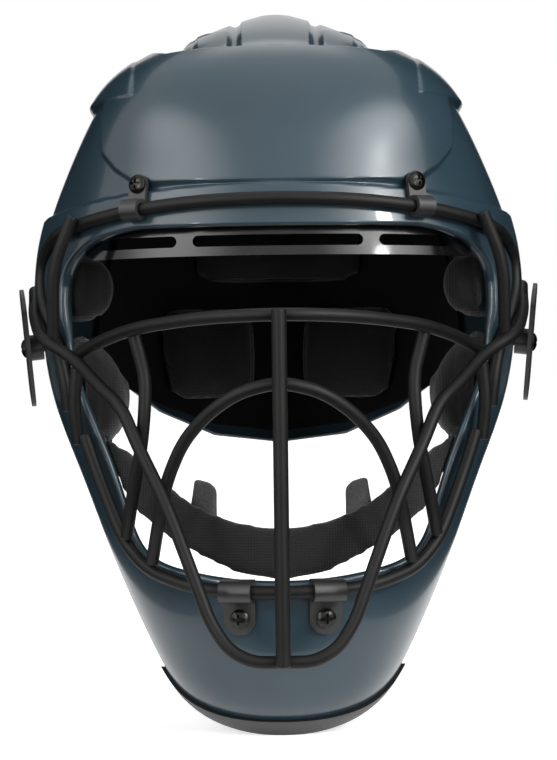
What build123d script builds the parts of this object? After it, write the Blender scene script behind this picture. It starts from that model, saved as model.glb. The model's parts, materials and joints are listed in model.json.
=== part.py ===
from build123d import *
from math import cos, hypot, radians, sin, tan
import os

os.makedirs("parts", exist_ok=True)

# Lengths are millimetres. The origin is the middle of the head, level with the ear canals.
# The face looks along -Y, +Z is up, and +X is the wearer's left, on the right of a front view.

# Envelope of the shell
shell_half_width = 111.5
brow_reach = 120.0
nape_reach = 128.0
crown_height = 145.0
chin_drop = 179.0
shell_wall = 3.5
overrun = 60.0
seat_gap = 0.3

# Levels of the shell from chin to crown, as shares of the envelope: height, half width,
# reach forward, reach back, place of the widest point; last, how square the front half is
level_shares = (
    (-1.000, 0.210, 0.860, -0.420, -0.610, 2.25),
    (-0.930, 0.385, 0.995, -0.240, -0.560, 2.25),
    (-0.820, 0.510, 1.065, 0.000, -0.480, 2.25),
    (-0.670, 0.630, 1.085, 0.310, -0.375, 2.25),
    (-0.510, 0.742, 1.070, 0.660, -0.270, 2.25),
    (-0.360, 0.840, 1.040, 0.840, -0.170, 2.25),
    (-0.190, 0.945, 1.015, 0.940, -0.080, 2.25),
    (0.000, 1.000, 1.000, 0.990, 0.000, 2.25),
    (0.270, 0.985, 0.985, 0.990, 0.030, 2.25),
    (0.460, 0.905, 0.940, 0.950, 0.050, 2.35),
    (0.620, 0.805, 0.870, 0.865, 0.055, 2.80),
    (0.760, 0.680, 0.750, 0.760, 0.060, 3.20),
    (0.885, 0.420, 0.580, 0.620, 0.060, 2.90),
    (0.950, 0.255, 0.390, 0.470, 0.060, 2.50),
    (1.000, 0.100, 0.150, 0.240, 0.060, 2.25),
)
roundness = 2.25
points_around = 16


def plain_levels():
    """Each level in millimetres: height, half width, reach forward, reach back, widest place."""
    levels = []
    for height, width, front, rear, widest, square in level_shares:
        tall = crown_height if height > 0 else chin_drop
        reaches = (width * shell_half_width, front * brow_reach, rear * nape_reach)
        levels.append((height * tall, *reaches, widest * nape_reach, square))
    return levels


def grown_levels(grow):
    """The levels moved outward by grow, measured square to the surface."""
    levels = plain_levels()
    last = len(levels) - 1
    grown = []
    for i, level in enumerate(levels):
        below, above = levels[max(i - 1, 0)], levels[min(i + 1, last)]
        slopes = [(above[k] - below[k]) / (above[0] - below[0]) for k in (1, 2, 3)]
        ups = [-slope / hypot(1, slope) for slope in slopes]
        lift = {0: -1, last: 1}.get(i, sum(ups) / len(ups))
        reaches = [
            level[k + 1] + grow * (1 - lift * ups[k]) * hypot(1, slopes[k]) for k in range(len(ups))
        ]
        grown.append((level[0] + grow * lift, *reaches, *level[4:]))
    return grown


def add_skin(grow):
    """The closed egg of the shell's surface, moved outward by grow."""
    sections = []
    for height, half_width, front, rear, widest, square in grown_levels(grow):
        points = []
        for k in range(points_around):
            turn = radians(90 + k * 360 / points_around)
            across, along = cos(turn), sin(turn)
            depth = rear - widest if along > 0 else front + widest
            power = 2 / roundness if along > 0 else 2 / square
            x = half_width * abs(across) ** power * (1 if across > 0 else -1)
            y = widest + depth * abs(along) ** power * (1 if along > 0 else -1)
            points.append((x, y))
        with BuildSketch(Plane.XY.offset(height)) as level:
            with BuildLine():
                Spline(*points, periodic=True)
            make_face()
        sections.append(level.sketch.face())
    loft(sections)


with BuildPart() as outer_skin:
    add_skin(0)

with BuildPart() as inner_skin:
    add_skin(-shell_wall)


def seat_on(skin, angle, height):
    """Plane on a skin: angle from straight ahead towards +X, z outward, x level along the surface."""
    start = Vector(0, 0, height)
    toward = Vector(sin(radians(angle)), -cos(radians(angle)), 0)
    axis = Axis(start, toward)
    hits = [hit for face in skin.part.faces() for hit in face.find_intersection_points(axis)]
    point, normal = max(hits, key=lambda hit: (hit[0] - start).dot(toward))
    if normal.dot(toward) < 0:
        normal = -normal
    level = Vector(0, 0, 1).cross(normal).normalized()
    return Plane(origin=point, x_dir=level, z_dir=normal)


def upright(seat):
    """The seat turned to face level, for what stands straight up on it."""
    return Plane(origin=seat.origin, x_dir=seat.x_dir, z_dir=Vector(seat.z_dir.X, seat.z_dir.Y, 0))


def hug(angle, height, lift):
    """A point off the outer skin by lift, square to it."""
    return seat_on(outer_skin, angle, height).offset(lift).origin


def mirrored(right):
    """The points of the right half and their mirror images, those on the middle line once."""
    return right + [(-x, z) for x, z in reversed(right) if x > 0]


# What stands proud of the front shell: forehead panel, crown ridge and the band over the brow
raised_step = 3.0
ridge_half_width = 16.0
band_height = 16.0
brow_edge_height = 41.0
panel_half_width = 77.0
panel_top = 121.0
panel_outline_shares = (
    (0.00, 1.005), (0.36, 0.995), (0.62, 0.985), (0.76, 1.000), (0.87, 0.980), (0.96, 0.850),
    (1.00, 0.740), (0.99, 0.630), (0.91, 0.565), (0.78, 0.500), (0.40, 0.493), (0.00, 0.493),
)

with BuildPart() as raised_places:
    with BuildSketch(Plane.XZ.offset(ridge_half_width)):
        with BuildLine():
            right = [(x * panel_half_width, z * panel_top) for x, z in panel_outline_shares]
            Polyline(*mirrored(right), close=True)
        make_face()
        with Locations((0, brow_edge_height + band_height / 2)):
            Rectangle(4 * shell_half_width, band_height)
    extrude(amount=brow_reach + overrun)
    with BuildSketch(Plane.XY.offset(panel_top)):
        with Locations((0, ridge_half_width)):
            Rectangle(2 * ridge_half_width, brow_reach + ridge_half_width)
    extrude(amount=crown_height)

with BuildPart() as raised_skin:
    add_skin(raised_step)
    add(raised_places.part, mode=Mode.INTERSECT)

# Face opening seen from the front: shares of its half width and of its rise or drop
port_half_width = 91.5
port_drop = 111.0
port_side_shares = (
    (0.64, 0.98), (0.90, 0.80), (0.985, 0.55), (1.00, 0.05), (0.995, -0.11), (0.925, -0.30),
    (0.79, -0.57), (0.72, -0.74), (0.62, -0.905), (0.44, -0.965), (0.15, -0.998),
)


port_side = [
    (x * port_half_width, z * (brow_edge_height if z > 0 else port_drop)) for x, z in port_side_shares
]


# Lower edge of the shell seen from the side, from the back of the crown down to the chin
edge_reach = 112.0
edge_drop = 181.0
edge_shares = (
    (0.97, 0.490), (0.94, 0.400), (0.87, 0.290), (0.79, 0.190), (0.765, 0.000), (0.72, -0.120), (0.56, -0.250),
    (0.30, -0.390), (0.02, -0.535), (-0.20, -0.675), (-0.42, -0.805), (-0.68, -0.915), (-1.00, -1.000),
)
edge_points = [(y * edge_reach, z * edge_drop) for y, z in edge_shares]


def edge_region(shift):
    """Everything behind and below the shell's lower edge, moved back and down by shift."""
    with BuildSketch(Plane.YZ.offset(-2 * shell_half_width)) as region:
        with BuildLine():
            far = nape_reach + overrun
            low = -chin_drop - overrun
            moved = [(y + shift, z - shift) for y, z in edge_points]
            top, end = moved[0], moved[-1]
            Spline(*moved)
            Polyline(end, (end[0] - overrun, low), (far, low), (far, top[1]), top)
        make_face()
    return region.sketch


# Vents, ear slots and the holes for the fasteners
crown_vent_length = 19.0
crown_vent_width = 5.0
crown_vent_place = 38.0
crown_vent_reach = 50.0
temple_vent_angle = 57.0
temple_vent_height = 90.0
temple_vent_size = 12.0
rear_vent_length = 26.0
rear_vent_width = 7.0
rear_vent_spacing = 34.0
rear_vent_reach = 58.0
ear_slot_height = 26.0
ear_slot_width = 5.0
ear_slot_spacing = 11.0
ear_slot_count = 3
ear_slot_reach = 17.0
screw_width = 4.8
nut_barrel_width = 6.4
barrel_hole_width = 6.8

# Places of the clip screws: angle from straight ahead and height
wire_width = 5.6
bar_width = 6.3
brow_screw_angle = 30.0
brow_screw_height = 59.0
chin_screw_angle = 8.0
chin_screw_height = -127.5
side_screw_angle = 76.0
side_screw_height = -9.0
side_clip_length = 58.0


def leaning(side):
    """The side screw's seat, leaning as the shell does along the clip's whole length."""
    angle = side * side_screw_angle
    top, low = [hug(angle, side_screw_height + up * side_clip_length / 2, 0) for up in (1, -1)]
    seat = seat_on(outer_skin, angle, side_screw_height)
    level = seat.x_dir - (top - low).normalized() * seat.x_dir.dot((top - low).normalized())
    return Plane(origin=seat.origin, x_dir=level, z_dir=level.cross(top - low))


brow_seats = [seat_on(outer_skin, side * brow_screw_angle, brow_screw_height) for side in (-1, 1)]
chin_seats = [seat_on(outer_skin, side * chin_screw_angle, chin_screw_height) for side in (-1, 1)]
side_seats = [leaning(side) for side in (-1, 1)]
# The brow clips stand on the raised panel, high enough to clear the band below it
brow_seat_gap = 1.0
brow_seat_rise = raised_step + brow_seat_gap
brow_seats = [seat.offset(brow_seat_rise) for seat in brow_seats]

# Straps: the top one at the back of the crown, the side ones from shell to plate
strap_wall = 1.6
strap_width = 16.0
strap_height = 28.0
strap_gap = 1.1
top_strap_width = 25.0
strap_start_angle = 121.0
strap_end_angle = 152.0
top_strap_start = 104.0
top_strap_end = 62.0
strap_seats = [upright(seat_on(inner_skin, side * strap_start_angle, strap_height)) for side in (-1, 1)]
top_seat = seat_on(outer_skin, 180, top_strap_start)


def bore(seat, width, depth, mode=Mode.ADD):
    """A round cutter along the seat's normal, from outside to depth below it."""
    with BuildSketch(seat.offset(-depth)) as hole:
        Circle(width / 2)
    extrude(hole.sketch, amount=depth + overrun / 4, mode=mode)


with BuildPart() as shell_openings:
    # face opening
    with BuildSketch(Plane.XZ.offset(ridge_half_width)):
        with BuildLine() as rim:
            Spline(*mirrored(port_side))
            Line(rim.line @ 1, rim.line @ 0)
        make_face()
    extrude(amount=brow_reach + overrun)
    # neck and back opening
    extrude(edge_region(0), amount=4 * shell_half_width)
    # two slots behind the forehead panel, and four at the back of the crown
    with BuildSketch(Plane.XY.offset(panel_top / 2)):
        with Locations((-crown_vent_place, -crown_vent_reach), (crown_vent_place, -crown_vent_reach)):
            SlotOverall(crown_vent_length, crown_vent_width)
        with Locations((0, rear_vent_reach)):
            with GridLocations(rear_vent_spacing, rear_vent_length * 1.5, 2, 2):
                SlotOverall(rear_vent_length, rear_vent_width, rotation=90)
    extrude(amount=crown_height)
    for side in (-1, 1):
        vent_seat = seat_on(outer_skin, side * temple_vent_angle, temple_vent_height)
        with BuildSketch(vent_seat.offset(-overrun / 4)):
            SlotOverall(temple_vent_size, crown_vent_width, rotation=90)
        extrude(amount=overrun)
        with BuildSketch(Plane.YZ.offset(side * shell_half_width / 2)):
            with Locations((ear_slot_reach, 0)):
                with GridLocations(ear_slot_spacing, 0, ear_slot_count, 1):
                    SlotOverall(ear_slot_height, ear_slot_width, rotation=90)
        extrude(amount=side * shell_half_width)
    for seat in brow_seats + chin_seats + side_seats:
        bore(seat, barrel_hole_width, raised_step + 3 * shell_wall)
    for seat in strap_seats + [top_seat]:
        bore(seat, screw_width + seat_gap, 2 * shell_wall)

with BuildPart() as front_shell:
    add([outer_skin.part, raised_skin.part])
    add([inner_skin.part, shell_openings.part], mode=Mode.SUBTRACT)
front_shell.part.label = "front_shell"

# Rubber edging on the shell's lower rim under the chin
trim_wall = 1.8
trim_cover = 6.0
trim_reach = 72.0

with BuildPart() as inner_trim:
    add_skin(-shell_wall - trim_wall)

with BuildPart() as chin_trim:
    add_skin(trim_wall)
    add(inner_trim.part, mode=Mode.SUBTRACT)
    extrude(edge_region(trim_wall), amount=4 * shell_half_width, mode=Mode.SUBTRACT)
    extrude(edge_region(-trim_cover), amount=4 * shell_half_width, mode=Mode.INTERSECT)
    with BuildSketch(Plane.XZ.offset(trim_reach)):
        with Locations((0, -chin_drop)):
            Rectangle(4 * shell_half_width, 2 * chin_drop)
    extrude(amount=brow_reach + overrun, mode=Mode.INTERSECT)
    add(front_shell.part, mode=Mode.SUBTRACT)
chin_trim.part.label = "chin_trim"

# Back plate, nested inside the back of the shell
plate_gap = 1.5
plate_wall = 3.0
plate_half_width = 80.0
plate_neck_half_width = 64.0
plate_top = 87.0
plate_drop = 58.0
plate_corner = 12.0
plate_shoulder = 16.0
plate_outline_shares = (
    (0.0, -1.00), (0.42, -0.93), (0.76, -0.72), (0.94, -0.52), (1.0, -0.30), (1.0, 0.0),
)


def plate_outline(inset):
    """The plate seen from behind: wide shoulders below a narrower neck."""
    wide, neck = plate_half_width - inset, plate_neck_half_width - inset
    with BuildSketch(Plane.XZ.offset(-plate_neck_half_width)) as outline:
        with BuildLine():
            right = [(x * wide, z * (plate_drop - inset)) for x, z in plate_outline_shares]
            right += [(wide, plate_shoulder - inset), (neck, plate_shoulder + plate_corner - inset)]
            right += [(neck, plate_top - plate_corner), (neck - plate_corner, plate_top - inset)]
            Polyline(*mirrored(right), close=True)
        make_face()
    return outline.sketch


plate_outer = -shell_wall - plate_gap
plate_inner = plate_outer - plate_wall

with BuildPart() as plate_cavity:
    add_skin(plate_inner)

plate_seats = [
    upright(seat_on(plate_cavity, side * strap_end_angle, strap_height)).offset(plate_wall) for side in (-1, 1)
]
top_plate_seat = seat_on(plate_cavity, 180, top_strap_end).offset(plate_wall)

with BuildPart() as back_plate:
    add_skin(plate_outer)
    add(plate_cavity.part, mode=Mode.SUBTRACT)
    extrude(plate_outline(0), amount=-nape_reach, mode=Mode.INTERSECT)
    for seat in plate_seats + [top_plate_seat]:
        bore(seat, screw_width + seat_gap, 2 * plate_wall, Mode.SUBTRACT)
back_plate.part.label = "back_plate"


# Wires of the face cage, bent from round bar and welded where they cross
cage_half_width = 115.0
cage_reach = 165.0
cage_drop = 143.0
brow_lift = 7.5
jaw_lift = 7.0
side_lift = 3.3
weld_bite = 1.0
weld_step = wire_width - weld_bite
end_round = 0.9


def cage_point(x, y, z):
    """A point of the cage from its shares of the cage's half width, reach and drop."""
    return Vector(x * cage_half_width, y * cage_reach, z * cage_drop)


def hug_cage(angle, share, lift):
    """A point off the shell at a share of the cage's drop."""
    return hug(angle, share * cage_drop, lift)


def both_sides(right):
    """A symmetric route: the mirror images of the right half, then the right half."""
    left = [Vector(-point.X, point.Y, point.Z) for point in reversed(right) if point.X > seat_gap]
    return left + right


def bend_radii(points):
    """The largest radius that each corner's two runs allow."""
    radii = []
    for before, corner, after in zip(points, points[1:], points[2:]):
        run = min((corner - before).length, (after - corner).length)
        turn = (corner - before).get_angle(after - corner)
        radii.append(0.45 * run / tan(radians(turn / 2)))
    return radii


def add_wire(points, width):
    """A round bar along straight runs and tangent arcs, with rounded ends."""
    with BuildLine() as route:
        FilletPolyline(*points, radius=bend_radii(points)) if len(points) > 2 else Line(*points)
    path = route.wire()
    with BuildSketch(Plane(origin=path @ 0, z_dir=path % 0)) as bar:
        Circle(width / 2)
    swept = sweep(bar.sketch, path=path)
    fillet(swept.faces().filter_by(GeomType.PLANE).edges(), radius=end_round)


brow_points = both_sides([
    hug_cage(0, 0.357, brow_lift),
    hug_cage(16, 0.350, brow_lift),
    hug_cage(30, 0.329, brow_lift),
    hug_cage(42, 0.301, brow_lift),
    hug_cage(52, 0.273, brow_lift),
    hug_cage(60, 0.248, side_lift + weld_bite),
    hug_cage(65.5, 0.189, side_lift),
    hug_cage(64.5, 0.105, side_lift),
    hug_cage(60, 0.021, side_lift),
    hug_cage(54.8, -0.070, side_lift),
    hug_cage(52.1, -0.175, side_lift),
    hug_cage(52.1, -0.266, side_lift),
])
eye_points = both_sides([
    cage_point(0.000, -0.985, 0.010),
    cage_point(0.287, -0.906, 0.003),
    cage_point(0.539, -0.764, -0.021),
    cage_point(0.687, -0.636, -0.060),
    cage_point(0.783, -0.525, -0.103),
])
u_points = both_sides([
    cage_point(0.110, -0.973, -1.000),
    cage_point(0.196, -0.962, -0.965),
    cage_point(0.262, -0.940, -0.888),
    cage_point(0.335, -0.912, -0.727),
    cage_point(0.426, -0.864, -0.535),
    cage_point(0.530, -0.797, -0.370),
    cage_point(0.591, -0.748, -0.255),
    cage_point(0.678, -0.673, -0.196),
    cage_point(0.783, -0.558, -0.108),
    hug_cage(53, -0.042, 3 * weld_step),
    hug_cage(63, 0.035, side_lift + weld_step),
    hug_cage(73, 0.084, side_lift + seat_gap),
    hug_cage(84, 0.119, side_lift),
])
bar_points = [cage_point(0, -1.0, 0.024), cage_point(0, -1.0, -1.012)]
arch_points = both_sides([
    cage_point(0.000, -0.970, -0.187),
    cage_point(0.148, -0.950, -0.215),
    cage_point(0.261, -0.915, -0.275),
    cage_point(0.357, -0.870, -0.360),
    cage_point(0.420, -0.836, -0.475),
    cage_point(0.452, -0.805, -0.590),
    cage_point(0.485, -0.722, -0.725),
])
jaw_points = both_sides([
    hug_cage(6, -0.811, jaw_lift),
    hug_cage(16, -0.797, jaw_lift),
    hug_cage(25.6, -0.748, jaw_lift),
    hug_cage(32.1, -0.664, jaw_lift),
    hug_cage(36.5, -0.552, jaw_lift),
    hug_cage(40.6, -0.434, jaw_lift),
    hug_cage(43.3, -0.336, jaw_lift),
])
temple_strut_points = [
    hug_cage(44.5, 0.308, brow_lift + weld_step),
    hug_cage(48.5, 0.161, brow_lift + weld_step),
    hug_cage(51.5, -0.049, 2 * weld_step),
]
cheek_strut_points = [
    cage_point(0.550, -0.730, -0.020),
    cage_point(0.500, -0.748, -0.168),
    cage_point(0.503, -0.758, -0.266),
    cage_point(0.517, -0.747, -0.372),
    cage_point(0.560, -0.707, -0.540),
    cage_point(0.585, -0.655, -0.655),
]
side_strut_points = [
    cage_point(0.778, -0.530, -0.135),
    hug_cage(46.1, -0.245, jaw_lift),
    hug_cage(45.8, -0.364, jaw_lift),
]

wire_routes = {
    "brow_wire": brow_points,
    "eye_wire": eye_points,
    "u_wire": u_points,
    "arch_wire": arch_points,
    "jaw_wire": jaw_points,
    "temple_strut_left": temple_strut_points,
    "cheek_strut_left": cheek_strut_points,
    "side_strut_left": side_strut_points,
}
wires = []
for name, points in wire_routes.items():
    with BuildPart() as wire:
        add_wire(points, wire_width)
    wire.part.label = name
    wires.append(wire)
    if name.endswith("left"):
        with BuildPart() as twin:
            add(wire.part)
            mirror(about=Plane.YZ, mode=Mode.REPLACE)
        twin.part.label = name.replace("left", "right")
        wires.append(twin)
with BuildPart() as centre_bar:
    add_wire(bar_points, bar_width)
centre_bar.part.label = "centre_bar"
wires.append(centre_bar)


# Clips that hold the cage: a tab screwed to the shell and a loop round a wire
clip_wall = 1.8
brow_clip_width = 9.0
chin_clip_width = 14.0
wire_fit = 0.1


def add_clip(seat, wire_point, width):
    """Tab on the seat with a round end about the screw, and a loop round the wire at wire_point."""
    place = seat.to_local_coords(wire_point)
    loop_width = wire_width / 2 + wire_fit + clip_wall
    with BuildSketch(seat.offset(seat_gap)) as tab:
        Circle(width / 2)
        with Locations((0, place.Y / 2)):
            Rectangle(width, abs(place.Y))
    extrude(tab.sketch, amount=clip_wall)
    side_plane = Plane(origin=seat.origin, x_dir=seat.y_dir, z_dir=seat.x_dir)
    with BuildSketch(side_plane.offset(-width / 2)) as loop:
        with Locations((place.Y, place.Z)):
            Circle(loop_width)
        with Locations((place.Y + loop_width / 2, (place.Z + seat_gap) / 2)):
            Rectangle(loop_width, place.Z - seat_gap)
        # the loop is flat underneath, level with the tab
        with Locations((place.Y, seat_gap - loop_width)):
            Rectangle(4 * loop_width, 2 * loop_width, mode=Mode.SUBTRACT)
    extrude(loop.sketch, amount=width)
    with BuildSketch(side_plane.offset(-width)) as bar_room:
        with Locations((place.Y, place.Z)):
            Circle(wire_width / 2 + wire_fit)
    extrude(bar_room.sketch, amount=2 * width, mode=Mode.SUBTRACT)
    with BuildSketch(seat) as screw_room:
        Circle(screw_width / 2 + wire_fit)
    extrude(screw_room.sketch, amount=2 * clip_wall, mode=Mode.SUBTRACT)


clips = []
brow_wire_spots = [hug_cage(side * brow_screw_angle, 0.329, brow_lift) for side in (-1, 1)]
chin_wire_spots = [hug_cage(side * chin_screw_angle, -0.809, jaw_lift) for side in (-1, 1)]
for side_name, seat, spot in zip(("right", "left"), brow_seats, brow_wire_spots):
    with BuildPart() as clip:
        add_clip(seat, spot, brow_clip_width)
    clip.part.label = f"brow_clip_{side_name}"
    clips.append(clip)
for side_name, seat, spot in zip(("right", "left"), chin_seats, chin_wire_spots):
    with BuildPart() as clip:
        add_clip(seat, spot, chin_clip_width)
    clip.part.label = f"chin_clip_{side_name}"
    clips.append(clip)

# Side clips: a long plate over the end of the U wire, on a boss round its screw
side_clip_width = 18.0
side_clip_lean = 24.0
side_boss_width = 12.0
side_plate_lift = side_lift + wire_width / 2 + 2 * seat_gap
for side, side_name, seat in zip((-1, 1), ("right", "left"), side_seats):
    with BuildPart() as clip:
        with BuildSketch(seat.offset(side_plate_lift)):
            SlotOverall(side_clip_length, side_clip_width, rotation=90 + side * side_clip_lean)
        extrude(amount=clip_wall)
        with BuildSketch(seat.offset(2 * seat_gap)):
            Circle(side_boss_width / 2)
        extrude(amount=side_plate_lift)
        with BuildSketch(seat):
            Circle(screw_width / 2 + wire_fit)
        extrude(amount=side_plate_lift + 2 * clip_wall, mode=Mode.SUBTRACT)
    clip.part.label = f"side_clip_{side_name}"
    clips.append(clip)

# Screws with a domed head and a cross recess, and the tee nuts behind them
screw_head_width = 8.4
screw_head_rise = 2.2
recess_length = 4.6
recess_width = 1.1
recess_depth = 1.2
nut_gap = 0.5
nut_flange_width = 13.0
nut_flange_wall = 1.2
nut_barrel_length = 2.6


def add_screw(seat, lift, length):
    """A screw whose head sits at lift above the seat, with its shank going down by length."""
    profile_plane = Plane(origin=seat.offset(lift).origin, x_dir=seat.x_dir, z_dir=-seat.y_dir)
    half_head, half_shank = screw_head_width / 2, screw_width / 2
    with BuildSketch(profile_plane) as profile:
        with BuildLine():
            Polyline((0, screw_head_rise), (0, -length), (half_shank, -length), (half_shank, 0), (half_head, 0))
            edge = (half_head, screw_head_rise / 3)
            Line((half_head, 0), edge)
            ThreePointArc(edge, (half_head * 0.6, screw_head_rise * 0.85), (0, screw_head_rise))
        make_face()
    revolve(profile.sketch, axis=Axis(seat.origin, seat.z_dir))
    with BuildSketch(seat.offset(lift + screw_head_rise - recess_depth)) as recess:
        Rectangle(recess_length, recess_width)
        Rectangle(recess_width, recess_length)
    extrude(recess.sketch, amount=2 * recess_depth, mode=Mode.SUBTRACT)


def add_nut(seat, depth):
    """A flange under the wall and a barrel up into its hole, round the screw."""
    with BuildSketch(seat.offset(-depth - nut_flange_wall)) as flange:
        Circle(nut_flange_width / 2)
        Circle(screw_width / 2 + wire_fit, mode=Mode.SUBTRACT)
    extrude(flange.sketch, amount=nut_flange_wall)
    with BuildSketch(seat.offset(-depth)) as barrel:
        Circle(nut_barrel_width / 2)
        Circle(screw_width / 2 + wire_fit, mode=Mode.SUBTRACT)
    extrude(barrel.sketch, amount=nut_barrel_length)


tab_top = seat_gap + clip_wall
nut_depth = shell_wall + nut_gap
shank_length = tab_top + nut_depth + nut_flange_wall
with BuildPart() as brow_screws:
    for seat in brow_seats:
        add_screw(seat, tab_top, shank_length + brow_seat_rise)
brow_screws.part.label = "brow_screws"
with BuildPart() as chin_screws:
    for seat in chin_seats:
        add_screw(seat, tab_top, shank_length)
chin_screws.part.label = "chin_screws"
with BuildPart() as side_screws:
    for seat in side_seats:
        add_screw(seat, side_plate_lift + clip_wall, shank_length + side_plate_lift)
side_screws.part.label = "side_screws"
with BuildPart() as cage_nuts:
    for seat in brow_seats:
        add_nut(seat, nut_depth + brow_seat_rise)
    for seat in chin_seats + side_seats:
        add_nut(seat, nut_depth)
cage_nuts.part.label = "cage_nuts"

# Black slotted frame behind the brow lip
liner_wall = 2.6
liner_top = 50.0
liner_low = 28.0
liner_half_width = 86.0
liner_reach = 42.0
liner_slot_height = 5.0
liner_slot_place = 34.5
middle_slot_length = 74.0
side_slot_length = 34.0
side_slot_place = 61.0
liner_outer = -shell_wall - seat_gap

with BuildPart() as liner_cavity:
    add_skin(liner_outer - liner_wall)

with BuildPart() as liner_room:
    with BuildSketch(Plane.XZ.offset(liner_reach)):
        with Locations((0, (liner_top + liner_low) / 2)):
            RectangleRounded(2 * liner_half_width, liner_top - liner_low, liner_slot_height)
        with Locations((0, liner_slot_place)):
            SlotOverall(middle_slot_length, liner_slot_height, mode=Mode.SUBTRACT)
        with Locations((-side_slot_place, liner_slot_place), (side_slot_place, liner_slot_place)):
            SlotOverall(side_slot_length, liner_slot_height, mode=Mode.SUBTRACT)
    extrude(amount=brow_reach)

with BuildPart() as brow_liner:
    add_skin(liner_outer)
    add(liner_room.part, mode=Mode.INTERSECT)
    add(liner_cavity.part, mode=Mode.SUBTRACT)
brow_liner.part.label = "brow_liner"

# Pads: cushions with a crowned face, drawn-in sides and sewn channels, seated on a skin
# How far each pad's back stands off its skin in the middle, so that its ends just clear the skin
chin_pad_gap = 0.6
forehead_pad_gap = 1.45
temple_pad_gap = 2.0
cheek_pad_gap = 3.0
back_pad_gap = 3.0
upper_pad_gap = 1.6
back_share = 0.86
side_share = 0.45


def add_cushion(skin, middle, span, height, half_height, depth, lift, shapes, rise=0):
    """A cushion along a skin: shapes holds shares of span, half height and depth at each station.

    rise lifts the stations away from the middle one, more and more towards the ends."""
    sections = []
    for turn, tall, thick in shapes:
        level = height + rise * abs(turn) ** 1.5
        seat = seat_on(skin, middle + turn * span, level)
        plane = Plane(origin=seat.offset(-lift).origin, x_dir=-seat.z_dir, z_dir=seat.x_dir)
        half, deep = half_height * tall, depth * thick
        with BuildSketch(plane) as section:
            with BuildLine():
                low_side, high_side = (deep * side_share, -half), (deep * side_share, half)
                Polyline(low_side, (0, -half * back_share), (0, half * back_share), high_side)
                ThreePointArc(high_side, (deep, 0), low_side)
            make_face()
        sections.append(section.sketch.face())
    loft(sections)


end_share = (0.70, 0.52)
near_end_share = (0.95, 0.91)
plain_shares = (
    (-1.0, *end_share), (-0.75, *near_end_share), (0.0, 1.0, 1.0), (0.75, *near_end_share), (1.0, *end_share),
)
channel_share = (0.98, 0.68)
lobed_shares = (
    (-1.0, *end_share), (-0.85, *near_end_share), (-0.60, 1.0, 1.0), (-0.37, *channel_share), (-0.15, 1.0, 1.0),
    (0.15, 1.0, 1.0), (0.37, *channel_share), (0.60, 1.0, 1.0), (0.85, *near_end_share), (1.0, *end_share),
)
pads = []


def keep_pad(pad, name):
    pad.part.label = name
    pads.append(pad)


forehead_pad_height = 84.0
forehead_pad_half = 15.0
forehead_pad_depth = 12.0
with BuildPart() as forehead_pad:
    add_cushion(
        inner_skin, 0, 48, forehead_pad_height, forehead_pad_half, forehead_pad_depth, forehead_pad_gap,
        lobed_shares,
    )
keep_pad(forehead_pad, "forehead_pad")

chin_pad_height = -101.0
chin_pad_half = 12.5
chin_pad_depth = 12.0
chin_pad_rise = 44.0
with BuildPart() as chin_pad:
    add_cushion(
        inner_skin, 0, 46, chin_pad_height, chin_pad_half, chin_pad_depth, chin_pad_gap, lobed_shares,
        chin_pad_rise,
    )
keep_pad(chin_pad, "chin_pad")

temple_pad_height = 17.0
temple_pad_half = 16.0
temple_pad_depth = 24.0
cheek_pad_height = -33.0
cheek_pad_half = 27.0
cheek_pad_depth = 26.0
ear_room_reach = 9.0
ear_room_height = 2.0
ear_room_width = 46.0
back_pad_height = -14.0
back_pad_half = 26.0
back_pad_depth = 15.0
for side, side_name in ((-1, "right"), (1, "left")):
    with BuildPart() as temple_pad:
        add_cushion(
            inner_skin, side * 66, 13, temple_pad_height, temple_pad_half, temple_pad_depth, temple_pad_gap,
            plain_shares,
        )
    keep_pad(temple_pad, f"temple_pad_{side_name}")
    with BuildPart() as cheek_pad:
        add_cushion(
            inner_skin, side * 82, 29, cheek_pad_height, cheek_pad_half, cheek_pad_depth, cheek_pad_gap,
            plain_shares,
        )
        with BuildSketch(Plane.YZ):
            with Locations((ear_room_reach, ear_room_height)):
                Circle(ear_room_width / 2)
        extrude(amount=side * 2 * shell_half_width, mode=Mode.SUBTRACT)
        # room for the nut and the screw's tip
        nut_room_seat = side_seats[0] if side < 0 else side_seats[1]
        bore(nut_room_seat, nut_flange_width + 4 * seat_gap, nut_depth + 2 * shell_wall, Mode.SUBTRACT)
    keep_pad(cheek_pad, f"cheek_pad_{side_name}")
    with BuildPart() as back_pad:
        add_cushion(
            plate_cavity, 180 - side * 19.5, 13.5, back_pad_height, back_pad_half, back_pad_depth, back_pad_gap,
            plain_shares,
        )
    keep_pad(back_pad, f"back_pad_{side_name}")

upper_pad_height = 40.0
upper_pad_half = 17.0
upper_pad_depth = 13.0
with BuildPart() as back_pad_upper:
    add_cushion(
        plate_cavity, 180, 22, upper_pad_height, upper_pad_half, upper_pad_depth, upper_pad_gap, plain_shares
    )
keep_pad(back_pad_upper, "back_pad_upper")

# Crown pads: three lobes under the dome
crown_pad_depth = 12.0
crown_pad_length = 118.0
crown_pad_width = 30.0
crown_pad_spacing = 35.0
with BuildPart() as crown_cavity:
    add_skin(-shell_wall - crown_pad_depth)

with BuildPart() as crown_room:
    with BuildSketch(Plane.XY.offset(panel_top * 0.8)):
        with GridLocations(crown_pad_spacing, 0, 3, 1):
            SlotOverall(crown_pad_length, crown_pad_width, rotation=90)
    extrude(amount=crown_height)

with BuildPart() as crown_pads:
    add_skin(-shell_wall - seat_gap)
    add(crown_room.part, mode=Mode.INTERSECT)
    add(crown_cavity.part, mode=Mode.SUBTRACT)
keep_pad(crown_pads, "crown_pads")

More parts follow.
